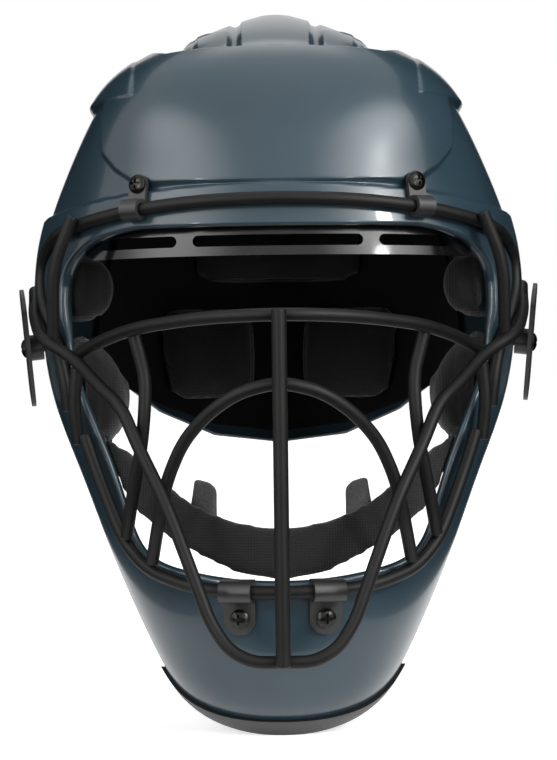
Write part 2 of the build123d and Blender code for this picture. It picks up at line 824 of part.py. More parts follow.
# Grey foam flaps that stand up behind the chin pad
flap_wall = 6.0
flap_width = 20.0
flap_height = 34.0
flap_angle = 21.0
flap_seat_height = -88.0
flap_seat_depth = chin_pad_gap + chin_pad_depth - 2 * seat_gap
for side, side_name in ((-1, "right"), (1, "left")):
    seat = seat_on(inner_skin, side * flap_angle, flap_seat_height).offset(-flap_seat_depth)
    with BuildPart() as chin_foam:
        with BuildSketch(seat.offset(-flap_wall)):
            with BuildLine():
                half, low, high = flap_width / 2, -flap_height / 3, flap_height * 2 / 3
                middle = (low + high) / 2
                Polyline(
                    (-half, low), (half, low), (half, middle + side * low), (side * half * 0.3, high),
                    (-half, middle - side * low), close=True,
                )
            make_face()
        extrude(amount=flap_wall)
    keep_pad(chin_foam, f"chin_foam_{side_name}")

# Elastic straps from the shell to the back plate, each clamped and screwed at both ends
strap_step = 2.5
strap_step_shares = (
    (0.0, 0.0), (0.2, 0.0), (0.4, 0.0), (0.5, 0.12), (0.6, 0.5), (0.7, 0.88), (0.8, 1.0), (0.9, 1.0), (1.0, 1.0),
)
clamp_length = 10.0
clamp_wall = 1.6
clamp_corner = 2.0
lead_angle = 5.0
strap_hole_width = screw_width + 4 * seat_gap


def side_strap_points(side, lift):
    """Points of a side strap seen from above; it steps outward as it reaches the plate."""
    points = []
    first, last = strap_start_angle - lead_angle, strap_end_angle + lead_angle
    for turn, step in strap_step_shares:
        away = step * strap_step + lift - strap_gap - strap_wall
        point = seat_on(inner_skin, side * (first + turn * (last - first)), strap_height).offset(away).origin
        points.append((point.X, point.Y))
    return points


def top_strap_points(lift):
    """Points of the top strap seen from the side; it steps in from the shell to the plate."""
    points = []
    for start, end, drop in top_strap_levels:
        for k in range(top_strap_places + 1):
            point = hug(180, start + k / top_strap_places * (end - start), lift - drop)
            points.append((point.Y, point.Z))
    return points


def add_clamp(seat, lift):
    """A small rounded plate across a strap."""
    with BuildSketch(seat.offset(lift)) as clamp:
        RectangleRounded(strap_width - 2 * clamp_corner, clamp_length, clamp_corner, rotation=90)
        Circle(strap_hole_width / 2, mode=Mode.SUBTRACT)
    extrude(clamp.sketch, amount=clamp_wall)


plate_lift = -plate_outer
top_strap_rim = 88.0
top_strap_levels = (
    (top_strap_start + clamp_length, top_strap_rim - strap_wall, 0),
    (top_strap_rim - 3 * plate_lift, top_strap_end - clamp_length, plate_lift),
)
top_strap_places = 6
straps = []
for side, side_name in ((-1, "right"), (1, "left")):
    with BuildPart() as side_strap:
        with BuildSketch(Plane.XY.offset(strap_height - strap_width / 2)):
            with BuildLine():
                inside = Spline(*side_strap_points(side, 0))
                outside = Spline(*side_strap_points(side, strap_wall))
                Line(inside @ 0, outside @ 0)
                Line(inside @ 1, outside @ 1)
            make_face()
        extrude(amount=strap_width)
        for seat in strap_seats + plate_seats:
            bore(seat, strap_hole_width, 3 * shell_wall, Mode.SUBTRACT)
    side_strap.part.label = f"side_strap_{side_name}"
    straps.append(side_strap)
with BuildPart() as top_strap:
    with BuildSketch(Plane.YZ.offset(-top_strap_width / 2)):
        with BuildLine():
            inside, outside = top_strap_points(seat_gap), top_strap_points(seat_gap + strap_wall)
            Polyline(*inside, *reversed(outside), close=True)
        make_face()
    extrude(amount=top_strap_width)
    for seat in (top_seat, top_plate_seat):
        bore(seat, strap_hole_width, 2 * shell_wall, Mode.SUBTRACT)
top_strap.part.label = "top_strap"
straps.append(top_strap)

under_side_strap = strap_gap + strap_wall + 2 * seat_gap
under_top_strap = seat_gap + strap_wall + 2 * seat_gap
with BuildPart() as shell_clamps:
    add_clamp(top_seat, under_top_strap)
    for seat in strap_seats:
        add_clamp(seat, -under_side_strap - clamp_wall)
shell_clamps.part.label = "shell_clamps"
with BuildPart() as plate_clamps:
    add_clamp(top_plate_seat, under_top_strap)
    for seat in plate_seats:
        add_clamp(seat, under_side_strap)
plate_clamps.part.label = "plate_clamps"
side_clamp_top = under_side_strap + clamp_wall
top_clamp_top = under_top_strap + clamp_wall
with BuildPart() as strap_screws:
    add_screw(top_seat, top_clamp_top, top_clamp_top + nut_depth + nut_flange_wall)
    for seat in strap_seats:
        add_screw(seat, shell_wall + seat_gap, shell_wall + seat_gap + side_clamp_top + nut_flange_wall)
strap_screws.part.label = "strap_screws"
with BuildPart() as plate_screws:
    add_screw(top_plate_seat, top_clamp_top, top_clamp_top + plate_wall)
    for seat in plate_seats:
        add_screw(seat, side_clamp_top, side_clamp_top + plate_wall)
plate_screws.part.label = "plate_screws"

parts = [front_shell, chin_trim, back_plate, *wires, *clips, brow_screws, chin_screws, side_screws, cage_nuts]
parts += [brow_liner, *pads, *straps, shell_clamps, plate_clamps, strap_screws, plate_screws]
for piece in parts:
    export_step(piece.part, f"parts/{piece.part.label}.step")
    print(piece.part.label, round(piece.part.volume), len(piece.part.solids()))
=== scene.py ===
# %% [markdown]
# # Baseball catcher helmet
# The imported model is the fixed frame: it holds every solid at its real size. This script dresses it.
# Each step first says what the piece is on the real helmet, then how it could be made, then why it is
# made this way. All lengths are written in millimetres and turned to metres at the end of each step.

# %% Load the frame
import json
import bpy
import numpy as np
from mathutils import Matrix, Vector


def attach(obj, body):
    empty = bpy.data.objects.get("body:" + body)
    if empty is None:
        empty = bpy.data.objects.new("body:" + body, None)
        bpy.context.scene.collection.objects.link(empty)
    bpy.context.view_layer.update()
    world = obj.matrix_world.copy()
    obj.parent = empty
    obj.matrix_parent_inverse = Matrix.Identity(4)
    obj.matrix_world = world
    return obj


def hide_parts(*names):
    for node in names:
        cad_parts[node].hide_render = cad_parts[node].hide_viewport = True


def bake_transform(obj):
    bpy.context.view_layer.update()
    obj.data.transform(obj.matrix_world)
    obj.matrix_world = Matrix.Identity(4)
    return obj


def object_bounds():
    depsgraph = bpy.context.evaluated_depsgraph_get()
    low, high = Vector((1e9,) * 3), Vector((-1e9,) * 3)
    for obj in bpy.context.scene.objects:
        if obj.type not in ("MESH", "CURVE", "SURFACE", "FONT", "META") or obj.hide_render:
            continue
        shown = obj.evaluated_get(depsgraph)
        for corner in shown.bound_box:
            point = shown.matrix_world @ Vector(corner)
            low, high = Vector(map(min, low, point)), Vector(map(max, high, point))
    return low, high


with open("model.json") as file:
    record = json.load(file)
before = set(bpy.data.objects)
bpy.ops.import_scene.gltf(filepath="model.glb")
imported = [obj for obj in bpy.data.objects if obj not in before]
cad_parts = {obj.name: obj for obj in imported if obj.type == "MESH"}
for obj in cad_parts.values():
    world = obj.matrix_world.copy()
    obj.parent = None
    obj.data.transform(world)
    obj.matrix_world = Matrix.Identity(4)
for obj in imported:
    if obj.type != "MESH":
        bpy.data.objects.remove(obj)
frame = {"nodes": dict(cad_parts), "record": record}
cad_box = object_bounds()
MM = 0.001

# %% [markdown]
# ## Small helpers for materials
# Colours are picked as sRGB hex values, the way a paint chart gives them. Blender's sockets want linear
# light, so one function converts them. One more function adds a shader node, fills its sockets and links it.

# %% Colour and node helpers


def linear(code):
    """A hex colour such as '#66717a' as linear red, green, blue and alpha."""
    values = [int(code[i:i + 2], 16) / 255 for i in (1, 3, 5)]
    return (*[v / 12.92 if v <= 0.04045 else ((v + 0.055) / 1.055) ** 2.4 for v in values], 1.0)


def add_node(tree, kind, inputs=None, **settings):
    """Adds a node. An input that is another node's socket is linked, any other value is set."""
    node = tree.nodes.new(kind)
    for name, value in settings.items():
        setattr(node, name, value)
    for name, value in (inputs or {}).items():
        if isinstance(value, bpy.types.NodeSocket):
            tree.links.new(value, node.inputs[name])
        else:
            node.inputs[name].default_value = value
    return node


def new_material(name, **shader_values):
    """A new material with one Principled shader; returns it with its tree, shader and coordinates."""
    material = bpy.data.materials.new(name)
    material.use_nodes = True
    tree = material.node_tree
    shader = tree.nodes["Principled BSDF"]
    for socket, value in shader_values.items():
        shader.inputs[socket.replace("_", " ")].default_value = value
    coordinates = add_node(tree, "ShaderNodeTexCoord")
    return material, tree, shader, coordinates.outputs["Object"]


def paint(tree, shader, factor, first, second):
    """Colours the shader by a ramp between two hex colours, driven by a factor socket."""
    ramp = add_node(tree, "ShaderNodeValToRGB", {"Fac": factor})
    for element, place, code in zip(ramp.color_ramp.elements, (0.3, 0.7), (first, second)):
        element.position, element.color = place, linear(code)
    tree.links.new(ramp.outputs["Color"], shader.inputs["Base Color"])


def grain(tree, coordinates, size_mm, detail=3.0, roughness=0.55):
    """A noise whose bumps are about size_mm across."""
    noise = add_node(tree, "ShaderNodeTexNoise", {
        "Vector": coordinates, "Scale": 1 / (size_mm * MM), "Detail": detail, "Roughness": roughness,
    })
    return noise.outputs["Fac"]


def set_bump(tree, shader, height, depth_mm, strength):
    """Joins a height to the shader's normal; depth_mm is how deep the relief is."""
    bump = add_node(tree, "ShaderNodeBump", {
        "Height": height, "Strength": strength, "Distance": depth_mm * MM,
    })
    tree.links.new(bump.outputs["Normal"], shader.inputs["Normal"])


print("material helpers ready")

# %% [markdown]
# ## Shell plastic: injection-moulded ABS, polished mould
# The shell is slate-coloured ABS straight from a polished mould. To the eye that is a deep, even colour
# under a clear sharp gloss, with a faint orange peel. A Principled shader with a low roughness does that; the
# peel is a noise 6 mm across and a few hundredths of a millimetre deep, and the pigment drifts by a shade.

# %% Shell plastic
shell_abs, tree, shader, where = new_material(
    "moulded_abs_slate_gloss", Roughness=0.30, IOR=1.5, Specular_IOR_Level=0.42, Coat_Weight=0.32,
    Coat_Roughness=0.06,
)
pigment = grain(tree, where, 45.0, 2.0)
paint(tree, shader, pigment, "#24353e", "#2a3c46")
peel = grain(tree, where, 6.0, 1.0)
set_bump(tree, shader, peel, 0.03, 0.35)
print("made", shell_abs.name)

# %% [markdown]
# ## Cage wire: steel rod with a thick black vinyl coat
# The dip coat is soft to the eye: dark grey, satin, with a fine pebble where the powder flowed together.

# %% Wire coating
wire_coat, tree, shader, where = new_material(
    "vinyl_dipped_steel_wire", Roughness=0.5, IOR=1.5, Specular_IOR_Level=0.2,
)
paint(tree, shader, grain(tree, where, 9.0), "#0c0c0c", "#121211")
set_bump(tree, shader, grain(tree, where, 0.9, 2.0), 0.05, 0.5)
print("made", wire_coat.name)

# %% [markdown]
# ## Small black parts
# Clips are glass-filled nylon, screws and nuts are black oxide steel, the liner behind the brow is glossy
# polypropylene and the chin edging is extruded rubber. Each keeps the typical gloss of its own kind.

# %% Clips, screws, liner, rubber
clip_nylon, tree, shader, where = new_material("glass_filled_nylon_black", Roughness=0.42, IOR=1.53)
paint(tree, shader, grain(tree, where, 5.0), "#1d1d1d", "#242424")
set_bump(tree, shader, grain(tree, where, 0.6, 2.0), 0.03, 0.5)

screw_steel, tree, shader, where = new_material("black_oxide_steel", Roughness=0.3, Metallic=1.0)
paint(tree, shader, grain(tree, where, 1.2), "#262624", "#3a3a38")
set_bump(tree, shader, grain(tree, where, 0.4, 2.0), 0.02, 0.4)

liner_gloss, tree, shader, where = new_material(
    "moulded_polypropylene_black", Roughness=0.12, IOR=1.49, Specular_IOR_Level=0.5,
)
paint(tree, shader, grain(tree, where, 20.0), "#0b0b0c", "#121213")
set_bump(tree, shader, grain(tree, where, 5.0, 1.0), 0.04, 0.4)

trim_rubber, tree, shader, where = new_material("extruded_rubber_edging", Roughness=0.5, IOR=1.52)
paint(tree, shader, grain(tree, where, 7.0), "#100f10", "#181718")
set_bump(tree, shader, grain(tree, where, 0.8, 2.0), 0.05, 0.6)

# painted shade: a matt black for the sheet that darkens the inside of the helmet where the pads do not reach
painted_shade_black, tree, shader, where = new_material(
    "painted_shade_black_sheet", Roughness=0.9, Specular_IOR_Level=0.15,
)
sheet_grain = grain(tree, where, 1.1, 4.0, 0.7)
paint(tree, shader, sheet_grain, "#0a0a0b", "#131314")
set_bump(tree, shader, sheet_grain, 0.15, 0.5)
print("made", clip_nylon.name, screw_steel.name, liner_gloss.name, trim_rubber.name, painted_shade_black.name)

# %% [markdown]
# ## Fabrics
# The pads wear a knitted polyester skin, black and matt with a soft sheen. The two flaps are brushed grey
# fabric on foam. The straps are woven elastic with ribs across. A weave is two sets of waves crossed. The
# real thread pitch of 0.5 mm is finer than the picture can show, so it is drawn at about 1.2 mm.

# %% Fabrics
WAVE_PITCH = 0.314  # metres from wave to wave in a wave texture of scale 1


def weave(tree, coordinates, pitch_mm):
    """Two crossed sets of waves, as knitted or woven threads."""
    mapped = add_node(tree, "ShaderNodeMapping", {"Vector": coordinates})
    waves = [
        add_node(tree, "ShaderNodeTexWave", {
            "Vector": mapped.outputs["Vector"], "Scale": WAVE_PITCH / (pitch_mm * MM),
            "Distortion": 1.2, "Detail": 1.0,
        }, bands_direction=direction).outputs["Fac"] for direction in ("X", "Z")
    ]
    both = add_node(tree, "ShaderNodeMath", operation="MULTIPLY")
    tree.links.new(waves[0], both.inputs[0])
    tree.links.new(waves[1], both.inputs[1])
    return both.outputs["Value"]


pad_knit, tree, shader, where = new_material(
    "knitted_polyester_black", Roughness=0.85, Sheen_Weight=0.25, Sheen_Roughness=0.5,
    Specular_IOR_Level=0.25,
)
knit = weave(tree, where, 1.2)
paint(tree, shader, knit, "#0d0d0d", "#1a1a1a")
set_bump(tree, shader, knit, 0.25, 0.6)

flap_fabric, tree, shader, where = new_material(
    "brushed_fabric_grey", Roughness=0.9, Sheen_Weight=0.3, Sheen_Roughness=0.5, Specular_IOR_Level=0.2,
)
brushed = grain(tree, where, 1.0, 5.0, 0.7)
paint(tree, shader, brushed, "#3c3c3c", "#5a5a5a")
set_bump(tree, shader, brushed, 0.3, 0.5)

strap_elastic, tree, shader, where = new_material(
    "woven_elastic_webbing", Roughness=0.8, Sheen_Weight=0.15, Specular_IOR_Level=0.25,
)
ribs = weave(tree, where, 1.6)
paint(tree, shader, ribs, "#151515", "#242424")
set_bump(tree, shader, ribs, 0.3, 0.7)
print("made", pad_knit.name, flap_fabric.name, strap_elastic.name)

# %% [markdown]
# ## The shell's surface
# A moulded helmet is one continuous double-curved skin. A smooth surface through fifteen level outlines
# gives it: every level is a rounded oval, and a cubic curve joins the levels from chin to crown. The same
# table shapes the solid in the frame, so the skin lies on it.

# %% Level outlines
SHELL_HALF_WIDTH, BROW_REACH, NAPE_REACH = 111.5, 120.0, 128.0
CROWN_HEIGHT, CHIN_DROP, SHELL_WALL = 145.0, 179.0, 3.5
LEVELS = np.array([
    # height, half width, reach forward, reach back, widest place, squareness of the front
    (-1.000, 0.210, 0.860, -0.420, -0.610, 2.25),
    (-0.930, 0.385, 0.995, -0.240, -0.560, 2.25),
    (-0.820, 0.510, 1.065, 0.000, -0.480, 2.25),
    (-0.670, 0.630, 1.085, 0.310, -0.375, 2.25),
    (-0.510, 0.742, 1.070, 0.660, -0.270, 2.25),
    (-0.360, 0.840, 1.040, 0.840, -0.170, 2.25),
    (-0.190, 0.945, 1.015, 0.940, -0.080, 2.25),
    (0.000, 1.000, 1.000, 0.990, 0.000, 2.25),
    (0.270, 0.985, 0.985, 0.990, 0.030, 2.25),
    (0.460, 0.905, 0.940, 0.950, 0.050, 2.35),
    (0.620, 0.805, 0.870, 0.865, 0.055, 2.80),
    (0.760, 0.680, 0.750, 0.760, 0.060, 3.20),
    (0.885, 0.420, 0.580, 0.620, 0.060, 2.90),
    (0.950, 0.255, 0.390, 0.470, 0.060, 2.50),
    (1.000, 0.100, 0.150, 0.240, 0.060, 2.25),
])
REAR_SQUARENESS = 2.25


def level_table(grow):
    """The levels in millimetres, moved outward by grow square to the surface."""
    height = np.where(LEVELS[:, 0] > 0, LEVELS[:, 0] * CROWN_HEIGHT, LEVELS[:, 0] * CHIN_DROP)
    reaches = LEVELS[:, 1:4] * (SHELL_HALF_WIDTH, BROW_REACH, NAPE_REACH)
    below = np.maximum(np.arange(len(LEVELS)) - 1, 0)
    above = np.minimum(np.arange(len(LEVELS)) + 1, len(LEVELS) - 1)
    slopes = (reaches[above] - reaches[below]) / (height[above] - height[below])[:, None]
    stretch = np.hypot(1, slopes)
    ups = -slopes / stretch
    lift = ups.mean(axis=1)
    lift[0], lift[-1] = -1, 1
    reaches = reaches + grow * (1 - lift[:, None] * ups) * stretch
    return np.column_stack([height + grow * lift, reaches, LEVELS[:, 4] * NAPE_REACH, LEVELS[:, 5]])


def cubic(knots, values, at):
    """A natural cubic curve through values at the knots; values may have several columns."""
    knots, values, at = np.asarray(knots, float), np.asarray(values, float), np.asarray(at, float)
    steps = np.diff(knots)
    size = len(knots)
    matrix, right = np.eye(size), np.zeros((size, values.shape[1]))
    for i in range(1, size - 1):
        matrix[i, i - 1:i + 2] = steps[i - 1], 2 * (steps[i - 1] + steps[i]), steps[i]
        right[i] = 6 * ((values[i + 1] - values[i]) / steps[i] - (values[i] - values[i - 1]) / steps[i - 1])
    bend = np.linalg.solve(matrix, right)
    i = np.clip(np.searchsorted(knots, at, side="right") - 1, 0, size - 2)
    step, run = steps[i][:, None], (at - knots[i])[:, None]
    slope = (values[i + 1] - values[i]) / step - step * (2 * bend[i] + bend[i + 1]) / 6
    return values[i] + run * (slope + run * (bend[i] / 2 + run * (bend[i + 1] - bend[i]) / (6 * step)))


PLAIN = level_table(0.0)
# a step from level to level changes the height and three reaches, so it counts for less than its length
LEVEL_STEPS = np.linalg.norm(np.diff(PLAIN[:, [0, 1, 2, 3]], axis=0), axis=1) / 1.45
ALONG = np.concatenate([[0], np.cumsum(LEVEL_STEPS)])
PROBE_MM, PROBE_RADIUS = 0.25, 110


def skin(along, turn, grow=0.0):
    """Points of the skin: along runs from chin to crown, turn goes round from straight ahead towards +X."""
    height, wide, front, rear, widest, square = cubic(ALONG, level_table(grow), along).T
    ahead = np.cos(turn) > 0
    depth = np.where(ahead, front + widest, rear - widest)
    power = np.where(ahead, square, REAR_SQUARENESS)
    wide, depth = np.maximum(wide, 0.01), np.maximum(depth, 0.01)
    reach = (np.abs(np.sin(turn) / wide) ** power + np.abs(np.cos(turn) / depth) ** power) ** (-1 / power)
    return np.column_stack([reach * np.sin(turn), widest - reach * np.cos(turn), height])


def normals_of(surface, along, turn):
    """Unit normals of a surface function, from small steps both ways."""
    turned = PROBE_MM / PROBE_RADIUS
    up = surface(along + PROBE_MM, turn) - surface(along - PROBE_MM, turn)
    side = surface(along, turn + turned) - surface(along, turn - turned)
    across = np.cross(side, up)
    return across / np.maximum(np.linalg.norm(across, axis=1), 1e-9)[:, None]


print("skin runs", round(ALONG[-1]), "mm from chin to crown; brow point", skin([ALONG[8]], [0.0])[0].round(1))

# %% [markdown]
# ## Openings in a skin
# The face opening, the lower edge, the vents and the ear slots are cut through the skin. A boolean would
# leave a ragged rim on such a mesh, so the grid's own faces are clipped where a signed distance is zero, and
# the rim is then rolled over as a half round, the way a mould leaves it.

# %% Distances to outlines


def closed_distance(points, outline):
    """Signed distance from points to a closed outline, in its plane: positive inside."""
    best = np.full(len(points), 1e9)
    inside = np.zeros(len(points), bool)
    for a, b in zip(outline, np.roll(outline, -1, axis=0)):
        run, off = b - a, points - a
        share = np.clip(off @ run / max(run @ run, 1e-12), 0, 1)
        best = np.minimum(best, np.hypot(*(off - share[:, None] * run).T))
        crosses = (a[1] > points[:, 1]) != (b[1] > points[:, 1])
        place = a[0] + (points[:, 1] - a[1]) * run[0] / (run[1] if abs(run[1]) > 1e-12 else 1e-12)
        inside ^= crosses & (points[:, 0] < place)
    return np.where(inside, best, -best)


def slot_distance(points, start, end, half_width):
    """Signed distance to a round-ended slot: positive inside."""
    start, end = np.array(start, float), np.array(end, float)
    run, off = end - start, points - start
    share = np.clip(off @ run / max(run @ run, 1e-12), 0, 1)
    return half_width - np.hypot(*(off - share[:, None] * run).T)


def smooth_outline(points, count):
    """Points along a cubic curve through a few given ones."""
    points = np.array(points, float)
    knots = np.concatenate([[0], np.cumsum(np.hypot(*np.diff(points, axis=0).T))])
    return cubic(knots, points, np.linspace(knots[0], knots[-1], count))


def step_up(low, high, value):
    """0 at low, 1 at high, smooth between; it falls instead of rising where high is the smaller."""
    share = np.clip((value - low) / (high - low), 0, 1)
    return share * share * (3 - 2 * share)


print("outline helpers ready")

# %% Clip a skin and roll its rim
RIM_STEPS, RIM_SQUARENESS, RIM_HALVINGS = 6, 0.8, 12
CAP_RINGS = (0.7, 0.4, 0.15)
FINE_UNTIL, COARSE_FROM, GRID_RADIUS = np.radians(95), np.radians(120), 112


def clipped_skin(name, outer, inner, keep, rows, turns, bulge):
    """A walled mesh: outer and inner are surface functions, keep is positive where there is material."""
    count_rows, count_columns = len(rows), len(turns)
    along = np.repeat(rows, count_columns)
    turn = np.tile(turns, count_rows)
    value = keep(along, turn).reshape(count_rows, count_columns)
    places, index_of = [], {}

    def corner(i, j):
        if (i, j) not in index_of:
            index_of[i, j] = len(places)
            places.append((rows[i], turns[j]))
        return index_of[i, j]

    # find where grid edges cross the rim, all at once
    edges = []
    for i in range(count_rows):
        edge_down = (value[i] > 0) != (np.roll(value[i], -1) > 0)
        edges += [(i, j, 0) for j in np.nonzero(edge_down)[0]]
        if i + 1 < count_rows:
            edges += [(i, j, 1) for j in np.nonzero((value[i] > 0) != (value[i + 1] > 0))[0]]
    gap = np.append(np.diff(turns), turns[0] + 2 * np.pi - turns[-1])
    start = np.array([(rows[i], turns[j]) for i, j, way in edges]).reshape(-1, 2)
    run = np.array([
        (0, gap[j]) if way == 0 else (rows[i + 1] - rows[i], 0) for i, j, way in edges
    ]).reshape(-1, 2)
    low, high = np.zeros(len(edges)), np.ones(len(edges))
    first_in = keep(start[:, 0], start[:, 1]) > 0 if len(edges) else np.zeros(0, bool)
    for _ in range(RIM_HALVINGS):
        middle = (low + high) / 2
        now_in = keep(start[:, 0] + middle * run[:, 0], start[:, 1] + middle * run[:, 1]) > 0
        same = now_in == first_in
        low, high = np.where(same, middle, low), np.where(same, high, middle)
    crossing = {}
    for edge, place in zip(edges, start + ((low + high) / 2)[:, None] * run):
        crossing[edge] = len(places)
        places.append(tuple(place))

    # keep whole faces, and cut those that the rim crosses
    faces, follows = [], {}
    for i in range(count_rows - 1):
        for j in range(count_columns):
            k = (j + 1) % count_columns
            inside = [value[i, j] > 0, value[i, k] > 0, value[i + 1, k] > 0, value[i + 1, j] > 0]
            if not any(inside):
                continue
            corners = [(i, j), (i, k), (i + 1, k), (i + 1, j)]
            sides = [(i, j, 0), (i, k, 1), (i + 1, j, 0), (i, j, 1)]
            face, cut = [], []
            for n in range(4):
                if inside[n]:
                    face.append(corner(*corners[n]))
                if inside[n] != inside[(n + 1) % 4]:
                    face.append(crossing[sides[n]])
                    cut.append((len(face) - 1, inside[n]))
            if len(cut) == 2:
                leaving = [spot for spot, was_in in cut if was_in][0]
                follows[face[leaving]] = face[(leaving + 1) % len(face)]
            if len(face) > 2:
                faces.append(face)
    places = np.array(places)
    outside, within = outer(places[:, 0], places[:, 1]), inner(places[:, 0], places[:, 1])
    normal = normals_of(outer, places[:, 0], places[:, 1])
    count = len(places)
    vertices, directions = [outside, within], [normal, -normals_of(inner, places[:, 0], places[:, 1])]
    all_faces = faces + [[v + count for v in reversed(face)] for face in faces]

    # the last row closes over the top, in rings that shrink to its middle
    total = 2 * count
    if (value[-1] > 0).all():
        last = np.array([corner(count_rows - 1, j) for j in range(count_columns)])
        for ring, sheet, sign in ((last, outside, 1), (last + count, within, -1)):
            edge = sheet[last]
            middle = edge.mean(axis=0) * (1, 1, 0) + (0, 0, edge[:, 2].max())
            for near in CAP_RINGS:
                vertices.append(middle + (edge - middle) * near)
                directions.append(np.tile((0, 0, sign), (count_columns, 1)))
                inner_ring = np.arange(total, total + count_columns)
                total += count_columns
                for n in range(count_columns):
                    m = (n + 1) % count_columns
                    all_faces.append([ring[n], ring[m], inner_ring[m], inner_ring[n]][::sign])
                ring = inner_ring
            all_faces.append(list(ring)[::sign])

    # roll the rim: a half round from the outer skin to the inner one
    loops, left = [], dict(follows)
    while left:
        first = next(iter(left))
        loop, at = [], first
        while at in left:
            loop.append(at)
            at = left.pop(at)
        if at == first and len(loop) > 2:
            loops.append(np.array(loop))
    for loop in loops:
        rim_out, rim_in = outside[loop], within[loop]
        along_rim = np.roll(rim_out, -1, axis=0) - np.roll(rim_out, 1, axis=0)
        away = np.cross(along_rim, normal[loop])
        for _ in range(2):
            away = (np.roll(away, 1, axis=0) + 2 * away + np.roll(away, -1, axis=0)) / 4
        away = away / np.maximum(np.linalg.norm(away, axis=1), 1e-9)[:, None]
        middle, half = (rim_out + rim_in) / 2, (rim_out - rim_in) / 2
        half_unit = half / np.maximum(np.linalg.norm(half, axis=1), 1e-9)[:, None]
        rings = [loop]
        for step in range(1, RIM_STEPS):
            angle = np.pi * step / RIM_STEPS
            squash = np.sign(np.cos(angle)) * abs(np.cos(angle)) ** RIM_SQUARENESS
            vertices.append(middle + half * squash + away * bulge * np.sin(angle) ** RIM_SQUARENESS)
            directions.append(half_unit * np.cos(angle) + away * np.sin(angle))
            rings.append(np.arange(total, total + len(loop)))
            total += len(loop)
        rings.append(loop + count)
        for upper, lower in zip(rings, rings[1:]):
            for n in range(len(loop)):
                m = (n + 1) % len(loop)
                all_faces.append([upper[m], upper[n], lower[n], lower[m]])
    mesh = bpy.data.meshes.new(name)
    mesh.from_pydata((np.vstack(vertices) * MM).tolist(), [], [list(map(int, face)) for face in all_faces])
    mesh.update()
    mesh.shade_smooth()
    mesh.normals_split_custom_set_from_vertices(np.vstack(directions).tolist())
    piece = bpy.data.objects.new(name, mesh)
    bpy.context.scene.collection.objects.link(piece)
    print(name, "faces", len(mesh.polygons), "openings", len(loops))
    return piece


def spaced_turns(front_mm, rear_mm):
    """Turns round the skin, front_mm apart over the front and rear_mm apart behind."""
    turns, at = [], -np.pi
    while at < np.pi - 1e-6:
        turns.append(at)
        share = step_up(FINE_UNTIL, COARSE_FROM, abs(at))
        at += (front_mm + share * (rear_mm - front_mm)) / GRID_RADIUS
    return np.array(turns)


print("clipping helper ready")

# %% [markdown]
# ## Front shell
# On the moulded shell the forehead panel, the wings beside it, the band over the brow and two facets on the
# crown stand up to 4 mm proud, and a groove and a valley sink beside the crown ridge. A bump in the material
# would leave the outline smooth, so they are one height over the plain skin, with a short slope at each
# edge where the gloss can break.

# %% Heights over the plain skin
PANEL_RISE, BAND_RISE, FACET_RISE, WING_RISE = 3.0, 3.0, 0.9, 3.8
GROOVE_DEPTH, VALLEY_DEPTH = 1.6, 4.6
panel_outline = np.array([
    (0, 121.6), (27.7, 120.4), (47.7, 119.2), (55, 121.5), (63, 121), (69, 113), (75.5, 98), (77, 88),
    (76.2, 76), (70, 68), (60, 60.5), (30.8, 59.7), (0, 59.7),
], float)
panel_outline = np.vstack([panel_outline, panel_outline[-2:0:-1] * (-1, 1)])


def crown_sink(base):
    """How far the crown lies below the plain skin beside its ridge, in millimetres."""
    x, y, z = base.T
    wide, behind = np.abs(x), step_up(96, 70, y)
    groove = GROOVE_DEPTH * step_up(15.0, 17.5, wide) * step_up(21.5, 19.0, wide) * step_up(117, 121, z)
    # the valley between the crown and the corner of the forehead panel
    valley = VALLEY_DEPTH * step_up(38.0, 49.0, wide) * step_up(62.0, 52.0, wide) * step_up(108, 119, z)
    return np.maximum(groove, valley) * behind


def shell_height(base):
    """How far each point of the plain skin is raised, in millimetres."""
    x, y, z = base.T
    wide = np.abs(x)
    panel = closed_distance(base[:, [0, 2]], panel_outline)
    raised = PANEL_RISE * step_up(-2.2, 0.8, panel) * step_up(-4, -14, y)
    # band over the brow, from the panel's lower crease to the lip, running back over the temples
    band_top = 59.5 - 0.00085 * wide ** 2
    band = BAND_RISE * step_up(band_top + 1.0, band_top - 1.6, z) * step_up(30, 5, y) * step_up(-8, 6, z)
    # facets beside the ridge
    facet = FACET_RISE * step_up(20.5, 22.0, wide) * step_up(37.0, 34.5, wide) * step_up(118, 121, z)
    facet *= step_up(133.5, 131.5, z) * step_up(-8, -15, y)
    # wings beside the panel, cut off below by a notch
    wing = WING_RISE * step_up(97.5, 99.5, z) * step_up(123, 117, z) * step_up(50, 20, y)
    wing *= step_up(56, 64, wide)
    proud = np.maximum.reduce([raised, band, facet, wing])
    return proud - crown_sink(base) * (1 - np.minimum(proud / PANEL_RISE, 1))


def front_outer(along, turn):
    base = skin(along, turn)
    return base + normals_of(skin, along, turn) * shell_height(base)[:, None]


def front_inner(along, turn):
    sunk = np.maximum(crown_sink(skin(along, turn)) - GROOVE_DEPTH, 0)
    return skin(along, turn, -SHELL_WALL) - normals_of(skin, along, turn) * sunk[:, None]


print("forehead panel outlined by", len(panel_outline), "corners")

